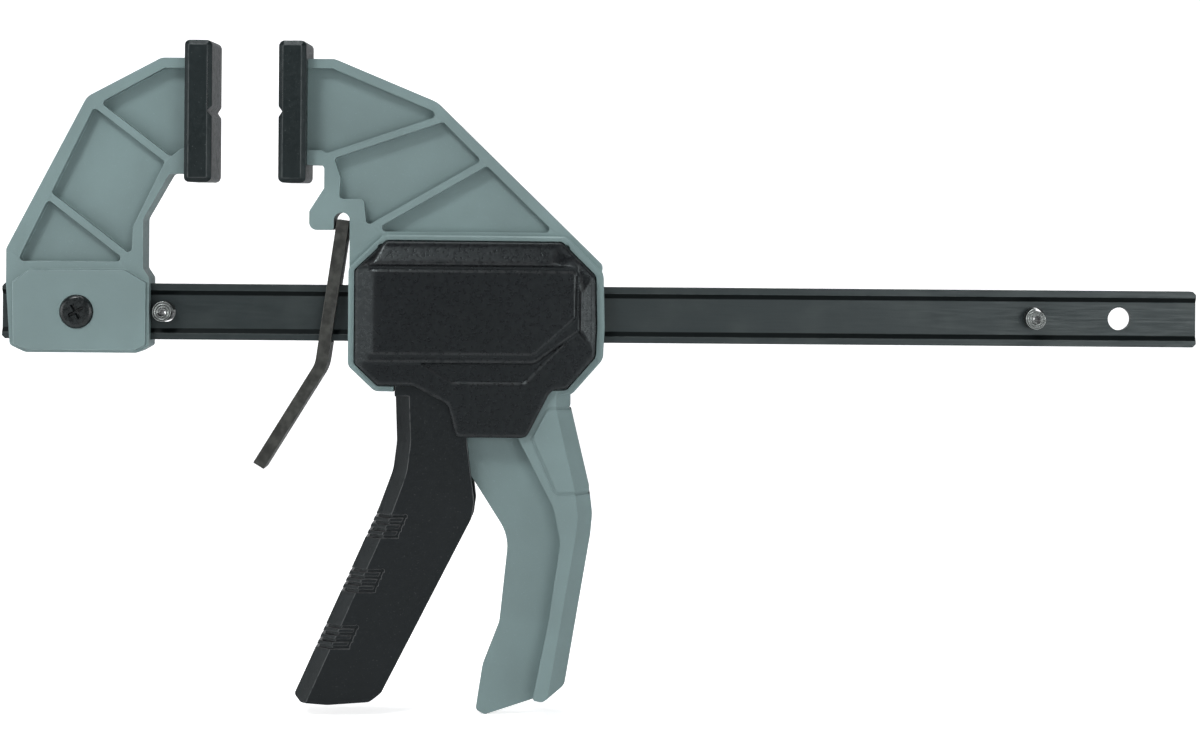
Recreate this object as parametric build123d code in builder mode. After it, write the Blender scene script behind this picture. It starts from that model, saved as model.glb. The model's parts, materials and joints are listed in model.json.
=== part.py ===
"""Quick release bar clamp: a fixed jaw at one end of an I-section steel bar, and a moving jaw with a
pistol grip that slides along it.  Squeezing the trigger walks the moving jaw towards the fixed one.

Frame: +X runs along the bar from the fixed jaw to the tail, +Z points from the bar to the pads, and
Y is the thickness.  X = 0 is the clamping face of the fixed pad, Y = 0 the middle of the thickness
and Z = 0 the middle of the bar.  The moving jaw is drawn rest_opening away from the fixed pad.
"""

import os
from math import cos, hypot, radians, sin, tan

from build123d import *

# ---------------------------------------------------------------- driving dimensions, millimetres
# bar
bar_length = 375.0
bar_height = 17.5
bar_thickness = 5.0
bar_flange = 2.0  # height of each flat edge beside the long side groove
bar_groove_depth = 0.9
bar_groove_slope = 1.4  # height of the groove's sloped side
bar_head_x = -66.6  # end of the bar behind the fixed jaw
capacity = 152.4  # widest opening, where the moving jaw meets the stop pin
hang_hole_radius = 3.6
hang_hole_from_tail = 23.9

# coiled spring pins
roll_pin_radius = 3.3
roll_pin_strip = 0.75  # thickness of the rolled strip
roll_pin_gap = 0.06  # between its turns
roll_pin_half_turns = 5
roll_pin_length = 13.0
jaw_pin_gap = 1.1  # between the fixed jaw and its pin

# jaws and pads
jaw_thickness = 12.0
jaw_web = 4.6
pad_width = 24.0
pad_height = 44.3
pad_thickness = 8.6
pad_groove_width = 3.3
pad_groove_depth = 1.3
pad_edge = 1.4
reach = 54.1  # from the top of the bar to the middle of the pads
fixed_jaw_face = -19.9  # side of the fixed jaw's base that faces the moving jaw
tongue_height = 32.4
tongue_depth = 4.8
rest_opening = 20.7
rib_width = 2.2
pocket_corner = 1.2  # radius of the sunk panels' corners

# fixed jaw's base, its screw and nut
base_length = 44.8
base_wall = 4.1  # below the bar
boss_thickness = 15.0
base_band = 5.8  # half height of the raised panel's flat middle
base_slope = 1.1  # fall of its faces above and below the flat middle
screw_radius = 2.5
screw_head_radius = 5.2
screw_head_height = 2.0
screw_sink = 0.9  # depth of the head's seat
screw_recess = (5.2, 1.2)  # length and width of each slot of the cross
nut_width = 8.0
nut_height = 3.4
recess_turn = 30.0  # degrees, of the crosses in the screw heads

# housing of the moving jaw and its covers
housing_length = 75.7
housing_edge = 1.7  # grey lip above and below each cover
front_edge = 2.0  # the same lip on the side of the pads
tail_edge = 2.4  # and on the side of the bar's tail
housing_drop = 1.0  # from a cover's inner face down to the housing's lip
cover_seat = 6.5  # distance of the covers' seat from the middle
cover_wall = 2.0
cover_sink = 0.5  # depth of the trapezoid hollow in the lower face
cover_steps = (0.55, 0.55, 1.1)  # lower face to band, band to panel, panel to brow
cover_screw_radius = 1.75
cover_screw_head_radius = 3.2
cover_screw_head_height = 1.8
cover_screw_recess = (3.4, 0.9)
cover_boss_radius = 3.9
skirt_wall = 1.2

# trigger, its pin and the drive
trigger_thickness = 18.0
trigger_wall = 3.4
trigger_front_wall = 4.5
trigger_bevel = 4.6
trigger_pin_radius = 2.5
trigger_pin_height = 8.5  # above the top of the bar
hub_radius = 4.3
grip_depth = 0.9
grip_slot = 0.95
grip_pitch = 2.1
grip_lean = 23.0  # degrees of the finger face from vertical
drive_plate_thickness = 3.0
drive_plate_margin = 4.6  # steel above and below the window
drive_wire = 1.3
drive_turns = 5
nose_radius = 6.0  # rounded nose of the trigger that pushes the plates
nose_half = 10.0
nose_back = 3.6

# handle
handle_web = 7.0  # thickness of the web that the trigger closes over
handle_bevel = 4.4  # on both edges of the handle's back
panel_groove = 1.1  # width of the line around the handle's side panel
panel_groove_depth = 0.4

# release lever and brake spring
lever_thickness = 3.9
lever_width = 11.0
lever_tilt = 8.2  # degrees from square to the bar, at rest
lever_bend = 31.6  # degrees of the finger end from vertical
lever_tail = 36.9
lever_elbow_z = -16.5
brake_wire = 1.1
brake_spring_radius = 4.8
brake_spring_height = 13.0  # above the top of the bar

# clearances
fit = 0.1  # pieces that are assembled and stay put
slide = 0.15  # pieces that run along the bar
pivot_play = 0.05
seam = 0.15  # around the covers
plate_gap = 0.3  # between the drive plates and the covers
contact = 0.08  # between a spring or a pushing face and its seat

# ---------------------------------------------------------------- values worked out from them
bar_half = bar_height / 2
tail_x = bar_head_x + bar_length
jaw_half = jaw_thickness / 2
jaw_pin_x = fixed_jaw_face + jaw_pin_gap + roll_pin_radius
base_middle = fixed_jaw_face - base_length / 2
boss_half = boss_thickness / 2
head_seat = boss_half - screw_sink
trigger_half = trigger_thickness / 2
drive_radius = hypot(bar_height, bar_thickness) / 2 + slide + drive_wire / 2
spring_reach = drive_radius + drive_wire / 2
cover_pocket = spring_reach + 0.5  # inner face of a cover over the spring
tongue_inner = trigger_half + 0.5  # inner face of a cover beside the trigger
cover_low = tongue_inner + cover_wall
cover_band = cover_low + cover_steps[0]
cover_panel = max(cover_band + cover_steps[1], cover_pocket + 1.4)
cover_brow = cover_panel + cover_steps[2]
hollow_half = (spring_reach**2 - tongue_inner**2) ** 0.5 + 1.5  # the spring swells into each cover


def above(height):
    """Z of a point that lies height above the bar's top edge."""
    return bar_half + height


def below(depth):
    """Z of a point that lies depth below the bar's bottom edge."""
    return -(bar_half + depth)


def mx(distance):
    """X of a point of the moving jaw, measured from its clamping face at rest."""
    return rest_opening + distance


pad_z = above(reach)
tongue_low = pad_z - tongue_height / 2
tongue_high = pad_z + tongue_height / 2
arm_under = tongue_low - 0.3  # underside of the moving arm behind its pad
tongue_end = pad_thickness - tongue_depth  # distance of a jaw's tongue from the clamping face
housing_left = mx(23.9)
housing_right = housing_left + housing_length
housing_end = housing_right + tail_edge
stop_pin_x = housing_end + capacity - rest_opening + roll_pin_radius

cavity_left = housing_left + 7.1
cavity_right = housing_right - 8.6
cavity_bottom = below(8.5)
pivot_x = cavity_left + 15.0
pivot_z = above(trigger_pin_height)
cavity_top = pivot_z + hub_radius + 0.4
plate_x = pivot_x + 8.0
spring_x = plate_x + 2 * drive_plate_thickness + contact

plate_low = -(bar_half + slide + drive_plate_margin)
web_front = mx(58.5)
slot_left = mx(17.0)
slot_right = mx(22.0)
lever_pivot_x = mx(19.5)
lever_pivot_z = above(18.0)
brake_spring_x = mx(21.8)
grip_groups = [(mx(40.9), -62.6), (mx(33.9), -79.6), (mx(26.0), -97.2)]  # end, top


# ---------------------------------------------------------------- helpers
def outline(corners, mode=Mode.ADD):
    """Closed face from (x, y, corner radius) in the sketch that is being drawn."""
    with BuildLine() as edge:
        FilletPolyline(
            [(x, y) for x, y, _ in corners], radius=[r for _, _, r in corners], close=True
        )
    make_face(edge.edges(), mode=mode)


def bar_slot(x_from, x_to, clearance):
    """Cut the way for the bar through the part that is being built."""
    with BuildSketch(Plane.YZ.offset(x_from)) as way:
        Rectangle(bar_thickness + 2 * clearance, bar_height + 2 * clearance)
    extrude(way.sketch, amount=x_to - x_from, mode=Mode.SUBTRACT)


def cross_hole(x, z, radius, depth=60.0):
    """Drill across the whole thickness of the part that is being built."""
    with BuildSketch(Plane.XZ) as mouth:
        with Locations((x, z)):
            Circle(radius)
    extrude(mouth.sketch, amount=depth, both=True, mode=Mode.SUBTRACT)


def bevel_wedges(points, radii, half_width, size):
    """Wedges that bevel both long edges of a face that follows points; it faces +X going down."""
    with BuildPart() as wedges:
        with BuildLine(Plane.XZ) as path:
            FilletPolyline(points, radius=radii)
        start = Plane(origin=path.line @ 0, x_dir=(0, 1, 0), z_dir=path.line % 0)
        for side in (-1, 1):
            with BuildSketch(start) as corner:
                outline(
                    [
                        (side * (half_width - size - 2), 2, 0),
                        (side * (half_width + 2), -size - 2, 0),
                        (side * (half_width + 2), 2, 0),
                    ]
                )
            sweep(corner.sketch, path=path.line)
    return wedges


def save(name, label):
    """Label a finished piece and write its STEP file."""
    name.part.label = label
    export_step(name.part, f"parts/{label}.step")


os.makedirs("parts", exist_ok=True)

# ---------------------------------------------------------------- bar
with BuildPart() as bar:
    with BuildSketch(Plane.YZ.offset(bar_head_x)):
        Rectangle(bar_thickness, bar_height)
        for side in (-1, 1):
            face_y = side * bar_thickness / 2
            floor_y = side * (bar_thickness / 2 - bar_groove_depth)
            groove_top = bar_half - bar_flange
            floor_top = groove_top - bar_groove_slope
            outline(
                [
                    (face_y, groove_top, 0),
                    (floor_y, floor_top, 0),
                    (floor_y, -floor_top, 0),
                    (face_y, -groove_top, 0),
                ],
                mode=Mode.SUBTRACT,
            )
    extrude(amount=bar_length)
    for end in (0, -1):
        rim = bar.edges().filter_by(Axis.Y).group_by(Axis.X)[end].sort_by(Axis.Z)
        chamfer([rim[0], rim[-1]], length=1.0)
    cross_hole(tail_x - hang_hole_from_tail, 0, hang_hole_radius)
    cross_hole(stop_pin_x, 0, roll_pin_radius)
    cross_hole(jaw_pin_x, 0, roll_pin_radius)
    cross_hole(base_middle, 0, screw_radius + fit)
save(bar, "bar")


# ---------------------------------------------------------------- coiled spring pins
def coiled_pin(x, seam_angle):
    """Strip steel rolled into a spiral of half circles, pressed through the bar."""
    pitch = roll_pin_strip + roll_pin_gap
    across = radians(seam_angle)
    end = Plane(
        origin=(x, roll_pin_length / 2, 0),
        x_dir=(cos(across), 0, sin(across)),
        z_dir=(0, -1, 0),
    )
    with BuildPart() as pin:
        with BuildSketch(end) as section:
            with BuildLine() as strip:
                for half_turn in range(roll_pin_half_turns):
                    centre = -pitch / 2 if half_turn % 2 else 0
                    radius = roll_pin_radius - (roll_pin_strip + half_turn * pitch) / 2
                    CenterArc((centre, 0), radius, 180 * half_turn, 180)
            trace(strip.edges(), roll_pin_strip)
        extrude(section.sketch, amount=roll_pin_length)
    return pin


jaw_roll_pin = coiled_pin(jaw_pin_x, 10)
save(jaw_roll_pin, "jaw_roll_pin")
stop_roll_pin = coiled_pin(stop_pin_x, 95)
save(stop_roll_pin, "stop_roll_pin")


# ---------------------------------------------------------------- pads
def pad(clamp_x, facing):
    """Pad with its clamping face at clamp_x; facing is +1 when that face looks along +X."""

    def px(depth):
        return clamp_x - facing * depth

    with BuildPart() as cap:
        with BuildSketch(Plane.XZ):
            outline(
                [
                    (px(0), pad_z + pad_height / 2, 1.8),
                    (px(0), pad_z - pad_height / 2, 1.8),
                    (px(pad_thickness), pad_z - pad_height / 2, 1.6),
                    (px(pad_thickness), pad_z + pad_height / 2, 1.6),
                ]
            )
        extrude(amount=pad_width / 2, both=True)
        sides = cap.faces().filter_by(Plane.XZ)
        chamfer(sides.edges().group_by(Axis.X)[-1 if facing > 0 else 0], length=pad_edge)
        # groove across the clamping face
        with BuildSketch(Plane.XZ):
            outline(
                [
                    (px(0), pad_z + pad_groove_width / 2, 0),
                    (px(pad_groove_depth), pad_z, 0),
                    (px(0), pad_z - pad_groove_width / 2, 0),
                    (px(-1), pad_z, 0),
                ]
            )
        extrude(amount=pad_width, both=True, mode=Mode.SUBTRACT)
        # pocket for the jaw's tongue
        with BuildSketch(Plane.YZ.offset(px(pad_thickness))):
            with Locations((0, pad_z)):
                Rectangle(jaw_thickness + 2 * fit, tongue_height + 2 * fit)
        extrude(amount=facing * (tongue_depth + fit), mode=Mode.SUBTRACT)
    return cap


fixed_jaw_pad = pad(0.0, 1)
save(fixed_jaw_pad, "fixed_jaw_pad")
moving_jaw_pad = pad(rest_opening, -1)
save(moving_jaw_pad, "moving_jaw_pad")


# ---------------------------------------------------------------- fixed jaw
def rib(start, end):
    """Strip between two points, for leaving a rib standing in a sunk panel."""
    with BuildLine() as middle:
        Line(start, end)
    trace(middle.line, rib_width, mode=Mode.SUBTRACT)


def sunk_panels(corners, ribs, side):
    """Panels sunk into one side of a jaw, down to its web, with ribs left between them."""
    with BuildSketch(Plane.XZ.offset(side * jaw_half)) as area:
        outline([(x, z, 0) for x, z in corners])
        for start, end in ribs:
            rib(start, end)
        fillet(area.vertices(), radius=pocket_corner)
    extrude(area.sketch, amount=-side * (jaw_thickness - jaw_web) / 2, mode=Mode.SUBTRACT)


base_left = fixed_jaw_face - base_length

with BuildPart() as fixed_jaw:
    with BuildSketch(Plane.XZ):
        outline(
            [
                (-tongue_end, tongue_high, 0),
                (-pad_thickness, tongue_high, 0),
                (-pad_thickness - fit, tongue_high + 0.6, 0.3),
                (-16.5, tongue_high + 0.6, 4),
                (-39.8, pad_z + 4.4, 5),
                (base_left, above(10.8), 2),
                (base_left, above(0.5), 0),
                (base_left + 1.3, below(1.8), 1.5),
                (base_left + 6.2, below(base_wall), 4),
                (fixed_jaw_face - 3.6, below(base_wall), 3),
                (fixed_jaw_face, below(2.0), 1),
                (fixed_jaw_face, above(1.9), 1),
                (fixed_jaw_face - 2.0, above(4.9), 1.5),
                (fixed_jaw_face - 2.0, above(20.3), 3),
                (-13.8, tongue_low - 3.3, 1.5),
                (-pad_thickness - fit, tongue_low - 3.3, 0.3),
                (-pad_thickness, tongue_low, 0),
                (-tongue_end, tongue_low, 0),
            ]
        )
    extrude(amount=jaw_half, both=True)
    for side in (-1, 1):
        sunk_panels(
            [
                (-tongue_end - 2.4, tongue_high - 2.6),
                (-15.6, tongue_high - 2.6),
                (-37.4, pad_z + 1.6),
                (-61.2, above(6.9)),
                (fixed_jaw_face - 5.6, above(6.9)),
                (fixed_jaw_face - 5.2, above(17.8)),
                (-15.1, tongue_low + 0.7),
                (-10.1, tongue_low + 4.5),
                (-tongue_end - 2.4, tongue_low + 4.5),
            ],
            [
                ((-38.9, pad_z + 3.6), (-10.0, tongue_low - 2.1)),
                ((-55.0, above(30.2)), (-23.9, above(6.2))),
            ],
            side,
        )
        # raised panel around the bar: a flat middle band that falls away above and below it
        with BuildSketch(Plane.XZ.offset(side * jaw_half)):
            outline(
                [
                    (base_left + 2.0, above(0.5), 0.5),
                    (base_left + 7.3, above(4.3), 2),
                    (fixed_jaw_face - 7.5, above(4.6), 2),
                    (fixed_jaw_face - 0.5, above(0.5), 0.5),
                    (fixed_jaw_face - 0.6, below(1.7), 1),
                    (fixed_jaw_face - 4.4, below(base_wall - 0.5), 3),
                    (base_left + 7.4, below(base_wall - 0.5), 3),
                    (base_left + 2.4, below(1.7), 1),
                ]
            )
        extrude(amount=side * (boss_half - jaw_half), taper=14)
        for up in (-1, 1):
            far = up * (bar_half + 6.0)
            with BuildSketch(Plane.YZ.offset(base_left)):
                outline(
                    [
                        (side * boss_half, up * base_band, 0),
                        (side * (boss_half + 1), up * base_band, 0),
                        (side * (boss_half + 1), far, 0),
                        (side * (boss_half - base_slope), far, 0),
                    ]
                )
            extrude(amount=base_length, mode=Mode.SUBTRACT)
    bar_slot(base_left - 1, fixed_jaw_face + 1, fit)
    cross_hole(base_middle, 0, screw_radius + fit)
    # round seat for the screw's head and hexagonal seat for its nut
    with BuildSketch(Plane.XZ.offset(head_seat)):
        with Locations((base_middle, 0)):
            Circle(screw_head_radius + fit)
    extrude(amount=screw_sink, mode=Mode.SUBTRACT)
    with BuildSketch(Plane.XZ.offset(-boss_half)):
        with Locations((base_middle, 0)):
            RegularPolygon(nut_width / 2 + fit, 6, major_radius=False)
    extrude(amount=nut_height + fit, mode=Mode.SUBTRACT)
save(fixed_jaw, "fixed_jaw")

# ---------------------------------------------------------------- screw and nut of the fixed jaw
with BuildPart() as fixed_jaw_screw:
    with BuildSketch(Plane.XZ.offset(head_seat)):
        with Locations((base_middle, 0)):
            Circle(screw_head_radius)
    extrude(amount=screw_head_height)
    crown = fixed_jaw_screw.edges().sort_by(Axis.Y)[0]
    fillet(crown, radius=screw_head_height * 0.6)
    with BuildSketch(Plane.XZ.offset(head_seat + screw_head_height)):
        with Locations((base_middle, 0)):
            with Locations(Rotation(0, 0, recess_turn)):
                Rectangle(*screw_recess)
                Rectangle(*reversed(screw_recess))
    extrude(amount=-1.5, mode=Mode.SUBTRACT, taper=12)
    with BuildSketch(Plane.XZ.offset(head_seat)):
        with Locations((base_middle, 0)):
            Circle(screw_radius)
    extrude(amount=-(boss_thickness - screw_sink) + 0.4)
save(fixed_jaw_screw, "fixed_jaw_screw")

with BuildPart() as fixed_jaw_nut:
    with BuildSketch(Plane.XZ.offset(-boss_half + nut_height)):
        with Locations((base_middle, 0)):
            RegularPolygon(nut_width / 2, 6, major_radius=False)
            Circle(screw_radius, mode=Mode.SUBTRACT)
    extrude(amount=-nut_height)
save(fixed_jaw_nut, "fixed_jaw_nut")


# ---------------------------------------------------------------- handle's spine
def spine(inset):
    """Thick back of the handle with both rear edges bevelled, its faces drawn in by inset."""
    with BuildPart() as solid:
        with BuildSketch(Plane.XZ) as side_view:
            outline(
                [
                    (mx(75.5), below(10.0), 0),
                    (mx(91.4), below(10.0), 0),
                    (mx(91.4), below(20.0), 2),
                    (mx(97.4), below(45.0), 3),
                    (mx(98.5), below(54.0), 8),
                    (mx(98.0), below(59.6), 8),
                    (mx(90.2), below(107.0), 3),
                    (mx(83.4), below(111.9), 2),
                    (mx(80.4), below(111.2), 0.8),
                    (mx(85.2), below(87.0), 20),
                    (mx(88.8), below(62.0), 9),
                    (mx(86.6), below(51.2), 9),
                    (mx(75.5), below(30.0), 3),
                ]
            )
            if inset:
                offset(amount=-inset)
        extrude(side_view.sketch, amount=tongue_inner - inset, both=True)
        wedges = bevel_wedges(
            [
                (mx(91.4), below(6.0)),
                (mx(91.4), below(20.0)),
                (mx(97.4), below(45.0)),
                (mx(98.5), below(54.0)),
                (mx(98.0), below(59.6)),
                (mx(88.4), below(117.0)),
            ],
            12,
            tongue_inner,
            handle_bevel + 1.4 * inset,
        )
        add(wedges.part, mode=Mode.SUBTRACT)
    return solid


with BuildPart() as panel_line:
    with BuildSketch(Plane.XZ) as track:
        with BuildLine() as middle:
            FilletPolyline(
                [
                    (mx(95.0), below(20.2)),
                    (mx(84.0), below(20.2)),
                    (mx(79.4), below(29.2)),
                    (mx(87.2), below(46.9)),
                    (mx(102.0), below(46.5)),
                ],
                radius=1.6,
            )
        trace(middle.edges(), panel_groove)
    extrude(track.sketch, amount=2 * tongue_inner, both=True)
    add(spine(panel_groove_depth).part, mode=Mode.SUBTRACT)

# ---------------------------------------------------------------- moving jaw with housing and handle


def octagon(front, tail):
    """Side view of a cover, with its front and tail ends moved out by that much."""
    left = housing_left - front
    right = housing_right + tail
    return [
        (left, above(5.0), 1.5),
        (left + 9.9, above(14.35), 1.5),
        (right - 11.1, above(14.15), 1.5),
        (right - 0.4, above(3.6), 2.5),
        (right, below(5.0) + 10.0, 6),
        (right - 0.4, below(4.2), 2.5),
        (right - 9.5, below(14.6), 2.5),
        (left + 7.4, below(13.65), 1.5),
        (left, below(6.7), 1.5),
    ]


cover_side = octagon(0, 0)
skirt_gap_left = mx(36.3)
skirt_gap_right = mx(75.3)
cover_screws_at = [
    (housing_left + 4.6, below(4.8)),
    (housing_right - 7.0, above(3.8)),
    (housing_right - 6.8, below(5.0)),
    (mx(77.6), below(19.5)),
]

with BuildPart() as moving_jaw:
    # arm, with the hook that holds the release lever
    with BuildSketch(Plane.XZ):
        outline(
            [
                (mx(tongue_end), tongue_high, 0),
                (mx(pad_thickness), tongue_high, 0),
                (mx(pad_thickness + fit), tongue_high + 0.55, 0.3),
                (mx(17.0), tongue_high + 0.55, 4),
                (mx(48.8), pad_z + 3.6, 5),
                (mx(101.4), above(6.7), 2),
                (housing_right, above(-4.0), 0),
                (slot_right, above(-4.0), 0),
                (slot_right, above(22.8), 2.45),
                (slot_left, above(22.8), 2.45),
                (slot_left, above(17.3), 0.9),
                (mx(9.3), above(17.3), 2.4),
                (mx(9.3), above(23.2), 1),
                (mx(13.9), arm_under - 7.2, 1),
                (mx(13.9), arm_under, 1.2),
                (mx(pad_thickness + fit), arm_under, 0.2),
                (mx(pad_thickness), tongue_low, 0),
                (mx(tongue_end), tongue_low, 0),
            ]
        )
    extrude(amount=jaw_half, both=True)
    for side in (-1, 1):
        sunk_panels(
            [
                (mx(tongue_end + 2.4), tongue_high - 2.4),
                (mx(16.2), tongue_high - 2.4),
                (mx(47.6), pad_z + 0.8),
                (mx(56.6), pad_z - 8.3),
                (mx(86.2), above(17.0)),
                (mx(27.4), above(17.0)),
                (mx(26.3), above(27.1)),
                (mx(18.6), above(27.1)),
                (mx(19.0), (above(29.8) + arm_under) / 2),
                (mx(16.8), arm_under + 2.6),
                (mx(12.8), arm_under + 4.7),
                (mx(tongue_end + 2.4), arm_under + 4.7),
            ],
            [
                ((mx(10.0), arm_under + 1.0), (mx(54.0), pad_z - 0.5)),
                ((mx(25.6), above(16.4)), (mx(72.0), pad_z - 10.9)),
            ],
            side,
        )
    # housing block with a raised lip around each cover
    with BuildSketch(Plane.XZ):
        outline(octagon(front_edge - housing_edge, tail_edge - housing_edge))
        offset(amount=housing_edge)
    extrude(amount=tongue_inner - housing_drop, both=True)
    chamfer(moving_jaw.faces().filter_by(Plane.XZ).group_by(Axis.Y)[0].edges(), length=0.5)
    chamfer(moving_jaw.faces().filter_by(Plane.XZ).group_by(Axis.Y)[-1].edges(), length=0.5)
    # handle: a thick spine at the back and a thin web that the trigger closes over
    add(spine(0).part)
    add(panel_line.part, mode=Mode.SUBTRACT)
    with BuildSketch(Plane.XZ):
        outline(
            [
                (web_front, below(8.5), 0),
                (mx(84.0), below(8.5), 0),
                (mx(90.0), below(55.0), 0),
                (mx(84.0), below(110.5), 0),
                (mx(65.2), below(116.8), 2),
                (mx(62.4), below(115.2), 1.5),
                (mx(64.4), below(101.6), 4),
                (mx(69.6), below(88.0), 10),
                (mx(72.4), below(60.6), 14),
                (web_front, below(38.8), 4),
            ]
        )
    extrude(amount=handle_web / 2, both=True)
    # seats of the covers
    for side in (-1, 1):
        with BuildSketch(Plane.XZ.offset(side * cover_seat)):
            outline(cover_side)
            offset(amount=seam)
        extrude(amount=side * 2 * tongue_inner, mode=Mode.SUBTRACT)
    # room for the mechanism, open at both sides under the covers
    with BuildSketch(Plane.XZ):
        outline(
            [
                (cavity_left, cavity_bottom, 1),
                (cavity_right, cavity_bottom, 1),
                (cavity_right, cavity_top, 1),
                (cavity_left, cavity_top, 1),
            ]
        )
    extrude(amount=30, both=True, mode=Mode.SUBTRACT)
    # way out for the trigger, on both sides of the web
    for side in (-1, 1):
        with BuildSketch(Plane.XZ.offset(side * handle_web / 2)):
            outline(
                [
                    (skirt_gap_left, cavity_bottom + 1, 0),
                    (skirt_gap_right, cavity_bottom + 1, 0),
                    (skirt_gap_right, below(20.0), 0),
                    (skirt_gap_left, below(20.0), 0),
                ]
            )
        extrude(amount=side * 20, mode=Mode.SUBTRACT)
    with BuildSketch(Plane.XZ):
        outline(
            [
                (skirt_gap_left, cavity_bottom + 1, 0),
                (web_front, cavity_bottom + 1, 0),
                (web_front, below(20.0), 0),
                (skirt_gap_left, below(20.0), 0),
            ]
        )
    extrude(amount=20, both=True, mode=Mode.SUBTRACT)
    bar_slot(mx(15.0), housing_end + 1, slide)
    for x, z in cover_screws_at:
        cross_hole(x, z, cover_screw_radius + fit)
        for side in (-1, 1):
            with BuildSketch(Plane.XZ.offset(side * cover_seat)):
                with Locations((x, z)):
                    Circle(cover_boss_radius + fit)
            extrude(amount=side * 20, mode=Mode.SUBTRACT)
    # blind bore for the brake spring
    with BuildSketch(Plane.YZ.offset(mx(20.0))):
        with Locations((0, above(brake_spring_height))):
            Circle(brake_spring_radius + fit)
    extrude(amount=cavity_left - 1.4 - mx(20.0), mode=Mode.SUBTRACT)
save(moving_jaw, "moving_jaw")


# ---------------------------------------------------------------- covers
def cover(side):
    """Side cover; side is +1 for the front (-Y) and -1 for the rear, which takes the screws."""

    def level(distance):
        return Plane.XZ.offset(side * distance)

    def layer(corners, start, end, taper=0.0, mode=Mode.ADD):
        with BuildSketch(level(start)) as area:
            outline(corners)
        extrude(area.sketch, amount=side * (end - start), taper=taper, mode=mode)

    low_tab = [
        (mx(39.9), below(12.2), 0),
        (mx(53.2), below(19.4), 3),
        (mx(55.9), below(29.7), 2),
        (mx(78.0), below(29.7), 2.5),
        (mx(82.9), below(17.4), 3),
        (mx(91.0), below(12.2), 0),
    ]
    hollow_area = [
        (mx(40.7), below(3.9), 0),
        (mx(54.6), below(12.4), 1.5),
        (mx(77.3), below(12.4), 1.5),
        (mx(95.9), -3.4, 0),
    ]
    band_area = [
        (housing_left + 1.0, below(6.3), 0.5),
        (mx(80.4), below(6.3), 3),
        (mx(94.3), -4.8, 1.5),
        (mx(94.3), above(2.0), 0),
        (housing_left + 1.0, above(2.0), 0),
    ]
    panel_area = [
        (housing_left + 1.6, below(3.9), 0.5),
        (mx(79.9), below(3.9), 3),
        (mx(93.6), -0.9, 1.5),
        (mx(93.6), above(7.0), 0),
        (housing_left + 1.6, above(7.0), 0),
    ]
    # the brow rises from the cover's rim to a ridge above and behind the panel
    brow_foot = [
        (housing_left + 0.9, below(6.7)),
        (housing_left + 0.9, above(4.6)),
        (housing_left + 10.2, above(13.4)),
        (housing_right - 11.4, above(13.2)),
        (housing_right - 1.3, above(3.2)),
        (housing_right - 1.3, below(4.4)),
    ]
    brow_ridge = [
        (housing_left + 4.0, below(2.0)),
        (housing_left + 4.0, above(-0.1)),
        (housing_left + 12.2, above(7.7)),
        (housing_right - 13.6, above(7.6)),
        (housing_right - 4.4, above(-1.5)),
        (housing_right - 4.4, -4.0),
    ]
    panel_recess = [
        (housing_left - 2.0, above(6.3), 0),
        (housing_right - 5.8, above(6.3), 2.2),
        (housing_right - 5.8, -5.2, 1.5),
        (mx(79.0), below(7.6), 0),
        (housing_left - 2.0, below(7.6), 0),
    ]
    with BuildPart() as shell:
        with BuildSketch(level(tongue_inner)):
            outline(cover_side)
            outline(low_tab)
        extrude(amount=side * cover_wall)
        rim = shell.faces().filter_by(Plane.XZ).group_by(Axis.Y)[0 if side > 0 else -1]
        chamfer(rim.edges(), length=0.8)
        layer(hollow_area, cover_low - cover_sink, cover_low + 1, mode=Mode.SUBTRACT)
        with BuildSketch(level(cover_low - 0.4)):
            Polygon(*brow_foot, align=None)
        with BuildSketch(level(cover_brow)):
            Polygon(*brow_ridge, align=None)
        loft(ruled=True)
        layer(panel_recess, cover_panel, cover_brow + 1, mode=Mode.SUBTRACT)
        layer(band_area, tongue_inner + 1, cover_band, 20)
        layer(panel_area, tongue_inner + 1, cover_panel, 20)
        # skirt that stands on the housing
        with BuildSketch(level(cover_seat)):
            outline(cover_side)
            offset(amount=-skirt_wall, mode=Mode.SUBTRACT)
        extrude(amount=side * (tongue_inner - cover_seat))
        # bosses for the screws and the trigger's pin
        for x, z in cover_screws_at:
            with BuildSketch(level(cover_seat)):
                with Locations((x, z)):
                    Circle(cover_boss_radius)
            extrude(amount=side * (tongue_inner - cover_seat + 0.5))
        # hollow over the spring round the bar
        with BuildSketch(level(tongue_inner)):
            outline(
                [
                    (spring_x - 1, -hollow_half, 1),
                    (cavity_right + 0.5, -hollow_half, 1),
                    (cavity_right + 0.5, hollow_half, 1),
                    (spring_x - 1, hollow_half, 1),
                ]
            )
        extrude(amount=side * (cover_pocket - tongue_inner), mode=Mode.SUBTRACT)
        with BuildSketch(level(trigger_half + 0.2)):
            with Locations((pivot_x, pivot_z)):
                Circle(hub_radius)
        extrude(amount=side * (cover_pocket - trigger_half))
        with BuildSketch(level(trigger_half)):
            with Locations((pivot_x, pivot_z)):
                Circle(trigger_pin_radius)
        extrude(amount=side * 1.8, mode=Mode.SUBTRACT)
        # way out for the trigger through the skirt
        with BuildSketch(level(cover_seat - 1)):
            outline(
                [
                    (skirt_gap_left, cavity_bottom, 0),
                    (skirt_gap_right, cavity_bottom, 0),
                    (skirt_gap_right, below(20.0), 0),
                    (skirt_gap_left, below(20.0), 0),
                ]
            )
        extrude(amount=side * (tongue_inner - cover_seat + 1), mode=Mode.SUBTRACT)
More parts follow.
